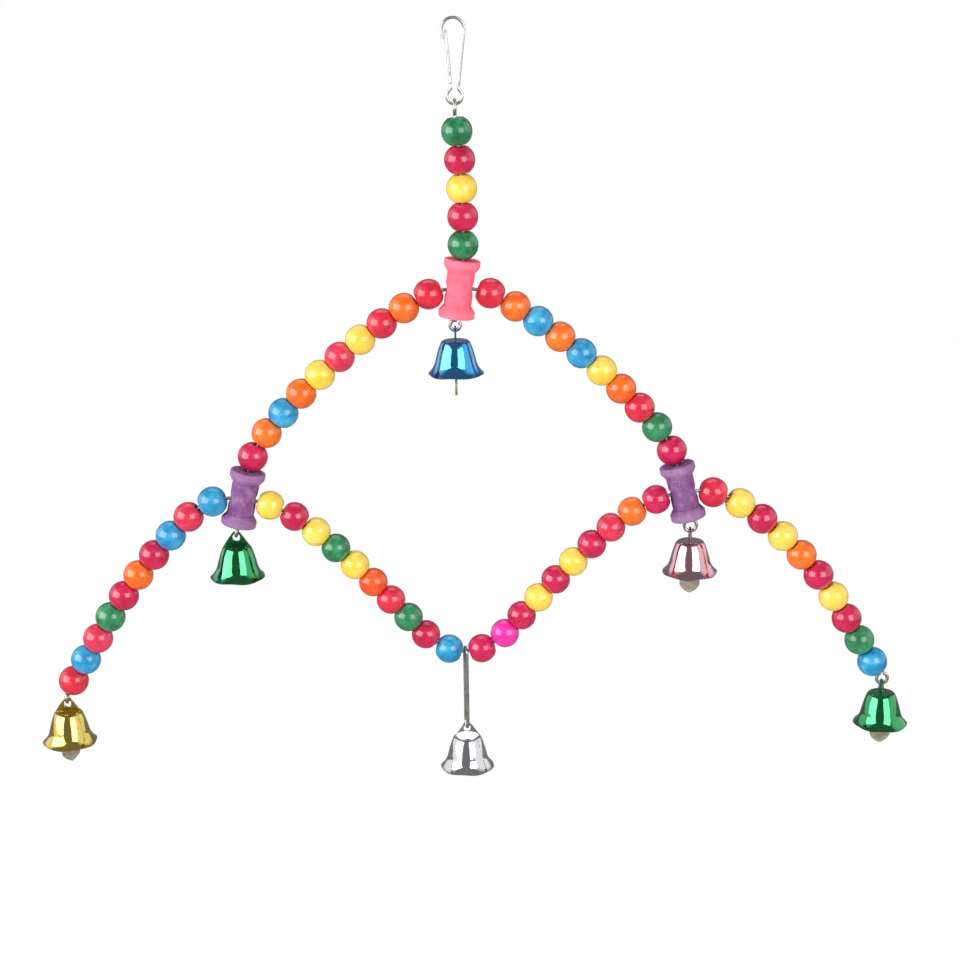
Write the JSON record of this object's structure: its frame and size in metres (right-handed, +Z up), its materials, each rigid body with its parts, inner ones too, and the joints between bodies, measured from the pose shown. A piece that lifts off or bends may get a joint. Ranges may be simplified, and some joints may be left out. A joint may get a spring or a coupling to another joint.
{
  "type": "bird swing",
  "caption": "Hanging bird swing of bent steel wires threaded with glossy coloured wooden balls and spools, with small bells and a snap hook.",
  "frame": {"origin": "inside top of the snap hook's bow, where the swing hangs", "axes": "+Z up, +X to the right and +Y away from a viewer who faces the swing"},
  "size_m": [0.3066, 0.0208, 0.2632],
  "materials": {
    "hook_wire": "bright nickel-plated spring wire",
    "steel_wire": "bright steel wire",
    "pink_wood": "matte dyed wood",
    "purple_wood": "matte dyed wood",
    "clapper_steel": "dull steel",
    "bell_blue": "blue mirror-bright plating",
    "bell_green": "green mirror-bright plating",
    "bell_pink": "pinkish mirror-bright plating",
    "bell_gold": "gold mirror-bright plating",
    "bell_silver": "silver mirror-bright plating",
    "ball_crimson": "glossy lacquer over dyed wood",
    "ball_red": "glossy lacquer over dyed wood",
    "ball_orange": "glossy lacquer over dyed wood",
    "ball_yellow": "glossy lacquer over dyed wood",
    "ball_green": "glossy lacquer over dyed wood",
    "ball_blue": "glossy lacquer over dyed wood",
    "ball_hot_pink": "glossy lacquer over dyed wood"
  },
  "bodies": {
    "hook": {"snap_hook": "hook_wire"},
    "gate": {"snap_gate": "hook_wire"},
    "stem": {"stem_wire": "steel_wire", "pink_spool": "pink_wood"},
    "arch": {"arch_wire": "steel_wire", "purple_spool_left": "purple_wood", "purple_spool_right": "purple_wood"},
    "lower": {"lower_wire": "steel_wire", "lower_balls_crimson": "ball_crimson", "lower_balls_red": "ball_red", "lower_balls_orange": "ball_orange", "lower_balls_yellow": "ball_yellow", "lower_balls_green": "ball_green", "lower_balls_blue": "ball_blue"},
    "hot_pink_ball": {"lower_ball_hot_pink": "ball_hot_pink"},
    "link": {"bell_link": "steel_wire"},
    "stem_ball_1": {"stem_ball_1": "ball_green"},
    "stem_ball_2": {"stem_ball_2": "ball_crimson"},
    "stem_ball_3": {"stem_ball_3": "ball_yellow"},
    "stem_ball_4": {"stem_ball_4": "ball_crimson"},
    "stem_ball_5": {"stem_ball_5": "ball_green"},
    "arch_ball_left_1": {"arch_ball_left_1": "ball_red"},
    "arch_ball_left_2": {"arch_ball_left_2": "ball_orange"},
    "arch_ball_left_3": {"arch_ball_left_3": "ball_red"},
    "arch_ball_left_4": {"arch_ball_left_4": "ball_yellow"},
    "arch_ball_left_5": {"arch_ball_left_5": "ball_red"},
    "arch_ball_left_6": {"arch_ball_left_6": "ball_yellow"},
    "arch_ball_left_7": {"arch_ball_left_7": "ball_orange"},
    "arch_ball_left_8": {"arch_ball_left_8": "ball_blue"},
    "arch_ball_left_9": {"arch_ball_left_9": "ball_orange"},
    "arch_ball_left_10": {"arch_ball_left_10": "ball_crimson"},
    "arch_ball_right_1": {"arch_ball_right_1": "ball_red"},
    "arch_ball_right_2": {"arch_ball_right_2": "ball_orange"},
    "arch_ball_right_3": {"arch_ball_right_3": "ball_blue"},
    "arch_ball_right_4": {"arch_ball_right_4": "ball_orange"},
    "arch_ball_right_5": {"arch_ball_right_5": "ball_blue"},
    "arch_ball_right_6": {"arch_ball_right_6": "ball_yellow"},
    "arch_ball_right_7": {"arch_ball_right_7": "ball_orange"},
    "arch_ball_right_8": {"arch_ball_right_8": "ball_red"},
    "arch_ball_right_9": {"arch_ball_right_9": "ball_green"},
    "arch_ball_right_10": {"arch_ball_right_10": "ball_crimson"},
    "blue_bell": {"blue_bell_shell": "bell_blue", "blue_bell_strap": "bell_blue"},
    "blue_bell_clapper": {"blue_bell_clapper": "clapper_steel"},
    "green_left_bell": {"green_left_bell_shell": "bell_green", "green_left_bell_strap": "bell_green"},
    "green_left_bell_clapper": {"green_left_bell_clapper": "clapper_steel"},
    "pink_bell": {"pink_bell_shell": "bell_pink", "pink_bell_strap": "bell_pink"},
    "pink_bell_clapper": {"pink_bell_clapper": "clapper_steel"},
    "gold_bell": {"gold_bell_shell": "bell_gold", "gold_bell_strap": "bell_gold"},
    "gold_bell_clapper": {"gold_bell_clapper": "clapper_steel"},
    "green_right_bell": {"green_right_bell_shell": "bell_green", "green_right_bell_strap": "bell_green"},
    "green_right_bell_clapper": {"green_right_bell_clapper": "clapper_steel"},
    "silver_bell": {"silver_bell_shell": "bell_silver", "silver_bell_strap": "bell_silver"},
    "silver_bell_clapper": {"silver_bell_clapper": "clapper_steel"}
  },
  "joints": [
    {"name": "gate_spring", "type": "hinge", "parent": "hook", "child": "gate", "pos_m": [-0.00108, 0, -0.02006], "axis": [0, 1, 0], "range_deg": [0, 12], "stiffness_Nm_per_rad": 0.004, "springref_deg": -2.86},
    {"name": "stem_swing", "type": "hinge", "parent": "hook", "child": "stem", "pos_m": [0.0002, 0, -0.027], "axis": [1, 0, 0], "range_deg": [-40, 40]},
    {"name": "arch_swing", "type": "hinge", "parent": "stem", "child": "arch", "pos_m": [0.00068, 0.0016, -0.08774], "axis": [1, 0, 0], "range_deg": [-25, 25]},
    {"name": "lower_swing", "type": "hinge", "parent": "arch", "child": "lower", "pos_m": [0.00068, 0, -0.15924], "axis": [1, 0, 0], "range_deg": [-25, 25]},
    {"name": "link_swing", "type": "hinge", "parent": "lower", "child": "link", "pos_m": [0.00068, 0, -0.21592], "axis": [0.9781, 0.2079, 0], "range_deg": [-30, 30]},
    {"name": "hot_pink_ball_spin", "type": "hinge", "parent": "lower", "child": "hot_pink_ball", "pos_m": [0.01447, 0, -0.20952], "axis": [-0.6756, 0, -0.7373], "continuous": true},
    {"name": "stem_ball_1_spin", "type": "hinge", "parent": "stem", "child": "stem_ball_1", "pos_m": [0.00076, 0, -0.03575], "axis": [0.0965, 0, -0.9953], "continuous": true},
    {"name": "stem_ball_2_spin", "type": "hinge", "parent": "stem", "child": "stem_ball_2", "pos_m": [0.00152, 0, -0.04505], "axis": [0.0672, 0, -0.9977], "continuous": true},
    {"name": "stem_ball_3_spin", "type": "hinge", "parent": "stem", "child": "stem_ball_3", "pos_m": [0.00201, 0, -0.05438], "axis": [0.0379, 0, -0.9993], "continuous": true},
    {"name": "stem_ball_4_spin", "type": "hinge", "parent": "stem", "child": "stem_ball_4", "pos_m": [0.00223, 0, -0.06371], "axis": [0.0085, 0, -1], "continuous": true},
    {"name": "stem_ball_5_spin", "type": "hinge", "parent": "stem", "child": "stem_ball_5", "pos_m": [0.00217, 0, -0.07304], "axis": [-0.0209, 0, -0.9998], "continuous": true},
    {"name": "arch_ball_left_1_spin", "type": "hinge", "parent": "arch", "child": "arch_ball_left_1", "pos_m": [-0.00965, 0.0016, -0.08964], "axis": [-0.9345, 0, -0.3561], "continuous": true},
    {"name": "arch_ball_left_2_spin", "type": "hinge", "parent": "arch", "child": "arch_ball_left_2", "pos_m": [-0.01801, 0.0016, -0.09422], "axis": [-0.842, 0, -0.5395], "continuous": true},
    {"name": "arch_ball_left_3_spin", "type": "hinge", "parent": "arch", "child": "arch_ball_left_3", "pos_m": [-0.02562, 0.0016, -0.09934], "axis": [-0.8173, 0, -0.5761], "continuous": true},
    {"name": "arch_ball_left_4_spin", "type": "hinge", "parent": "arch", "child": "arch_ball_left_4", "pos_m": [-0.03299, 0.0016, -0.10479], "axis": [-0.7911, 0, -0.6117], "continuous": true},
    {"name": "arch_ball_left_5_spin", "type": "hinge", "parent": "arch", "child": "arch_ball_left_5", "pos_m": [-0.04012, 0.0016, -0.11056], "axis": [-0.7633, 0, -0.6461], "continuous": true},
    {"name": "arch_ball_left_6_spin", "type": "hinge", "parent": "arch", "child": "arch_ball_left_6", "pos_m": [-0.04699, 0.0016, -0.11664], "axis": [-0.734, 0, -0.6791], "continuous": true},
    {"name": "arch_ball_left_7_spin", "type": "hinge", "parent": "arch", "child": "arch_ball_left_7", "pos_m": [-0.05358, 0.0016, -0.12301], "axis": [-0.7033, 0, -0.7109], "continuous": true},
    {"name": "arch_ball_left_8_spin", "type": "hinge", "parent": "arch", "child": "arch_ball_left_8", "pos_m": [-0.05989, 0.0016, -0.12967], "axis": [-0.6712, 0, -0.7413], "continuous": true},
    {"name": "arch_ball_left_9_spin", "type": "hinge", "parent": "arch", "child": "arch_ball_left_9", "pos_m": [-0.06589, 0.0016, -0.1366], "axis": [-0.6378, 0, -0.7702], "continuous": true},
    {"name": "arch_ball_left_10_spin", "type": "hinge", "parent": "arch", "child": "arch_ball_left_10", "pos_m": [-0.07098, 0.0016, -0.14486], "axis": [-0.3919, 0, -0.92], "continuous": true},
    {"name": "arch_ball_right_1_spin", "type": "hinge", "parent": "arch", "child": "arch_ball_right_1", "pos_m": [0.01102, 0.0016, -0.08964], "axis": [0.9345, 0, -0.3561], "continuous": true},
    {"name": "arch_ball_right_2_spin", "type": "hinge", "parent": "arch", "child": "arch_ball_right_2", "pos_m": [0.01937, 0.0016, -0.09422], "axis": [0.842, 0, -0.5395], "continuous": true},
    {"name": "arch_ball_right_3_spin", "type": "hinge", "parent": "arch", "child": "arch_ball_right_3", "pos_m": [0.02699, 0.0016, -0.09934], "axis": [0.8173, 0, -0.5762], "continuous": true},
    {"name": "arch_ball_right_4_spin", "type": "hinge", "parent": "arch", "child": "arch_ball_right_4", "pos_m": [0.03436, 0.0016, -0.10479], "axis": [0.7911, 0, -0.6117], "continuous": true},
    {"name": "arch_ball_right_5_spin", "type": "hinge", "parent": "arch", "child": "arch_ball_right_5", "pos_m": [0.04149, 0.0016, -0.11056], "axis": [0.7633, 0, -0.6461], "continuous": true},
    {"name": "arch_ball_right_6_spin", "type": "hinge", "parent": "arch", "child": "arch_ball_right_6", "pos_m": [0.04836, 0.0016, -0.11664], "axis": [0.734, 0, -0.6791], "continuous": true},
    {"name": "arch_ball_right_7_spin", "type": "hinge", "parent": "arch", "child": "arch_ball_right_7", "pos_m": [0.05495, 0.0016, -0.12301], "axis": [0.7033, 0, -0.7109], "continuous": true},
    {"name": "arch_ball_right_8_spin", "type": "hinge", "parent": "arch", "child": "arch_ball_right_8", "pos_m": [0.06126, 0.0016, -0.12967], "axis": [0.6712, 0, -0.7413], "continuous": true},
    {"name": "arch_ball_right_9_spin", "type": "hinge", "parent": "arch", "child": "arch_ball_right_9", "pos_m": [0.06726, 0.0016, -0.1366], "axis": [0.6378, 0, -0.7702], "continuous": true},
    {"name": "arch_ball_right_10_spin", "type": "hinge", "parent": "arch", "child": "arch_ball_right_10", "pos_m": [0.07235, 0.0016, -0.14486], "axis": [0.3919, 0, -0.92], "continuous": true},
    {"name": "blue_bell_swing", "type": "hinge", "parent": "stem", "child": "blue_bell", "pos_m": [-0.00093, 0, -0.10168], "axis": [-1, 0, 0], "range_deg": [-35, 35]},
    {"name": "blue_bell_clapper_swing", "type": "hinge", "parent": "blue_bell", "child": "blue_bell_clapper", "pos_m": [-0.00093, 0, -0.10773], "axis": [-1, 0, 0], "range_deg": [-20, 20]},
    {"name": "green_left_bell_swing", "type": "hinge", "parent": "arch", "child": "green_left_bell", "pos_m": [-0.07798, 0.0016, -0.17293], "axis": [0, 1, 0], "range_deg": [-30, 30]},
    {"name": "green_left_bell_clapper_swing", "type": "hinge", "parent": "green_left_bell", "child": "green_left_bell_clapper", "pos_m": [-0.07798, 0.0016, -0.17898], "axis": [0, 1, 0], "range_deg": [-20, 20]},
    {"name": "pink_bell_swing", "type": "hinge", "parent": "arch", "child": "pink_bell", "pos_m": [0.07905, 0.0016, -0.17376], "axis": [-1, 0, 0], "range_deg": [-35, 35]},
    {"name": "pink_bell_clapper_swing", "type": "hinge", "parent": "pink_bell", "child": "pink_bell_clapper", "pos_m": [0.07905, 0.0016, -0.17981], "axis": [-1, 0, 0], "range_deg": [-20, 20]},
    {"name": "gold_bell_swing", "type": "hinge", "parent": "lower", "child": "gold_bell", "pos_m": [-0.1402, 0, -0.23272], "axis": [0, 1, 0], "range_deg": [-30, 30]},
    {"name": "gold_bell_clapper_swing", "type": "hinge", "parent": "gold_bell", "child": "gold_bell_clapper", "pos_m": [-0.1402, 0, -0.23877], "axis": [0, 1, 0], "range_deg": [-20, 20]},
    {"name": "green_right_bell_swing", "type": "hinge", "parent": "lower", "child": "green_right_bell", "pos_m": [0.14718, 0, -0.23029], "axis": [-1, 0, 0], "range_deg": [-35, 35]},
    {"name": "green_right_bell_clapper_swing", "type": "hinge", "parent": "green_right_bell", "child": "green_right_bell_clapper", "pos_m": [0.14718, 0, -0.23634], "axis": [-1, 0, 0], "range_deg": [-20, 20]},
    {"name": "silver_bell_swing", "type": "hinge", "parent": "link", "child": "silver_bell", "pos_m": [0.00068, 0, -0.24432], "axis": [-0.2079, 0.9781, 0], "range_deg": [-30, 30]},
    {"name": "silver_bell_clapper_swing", "type": "hinge", "parent": "silver_bell", "child": "silver_bell_clapper", "pos_m": [0.00068, 0, -0.25037], "axis": [-0.2079, 0.9781, 0], "range_deg": [-20, 20]}
  ]
}
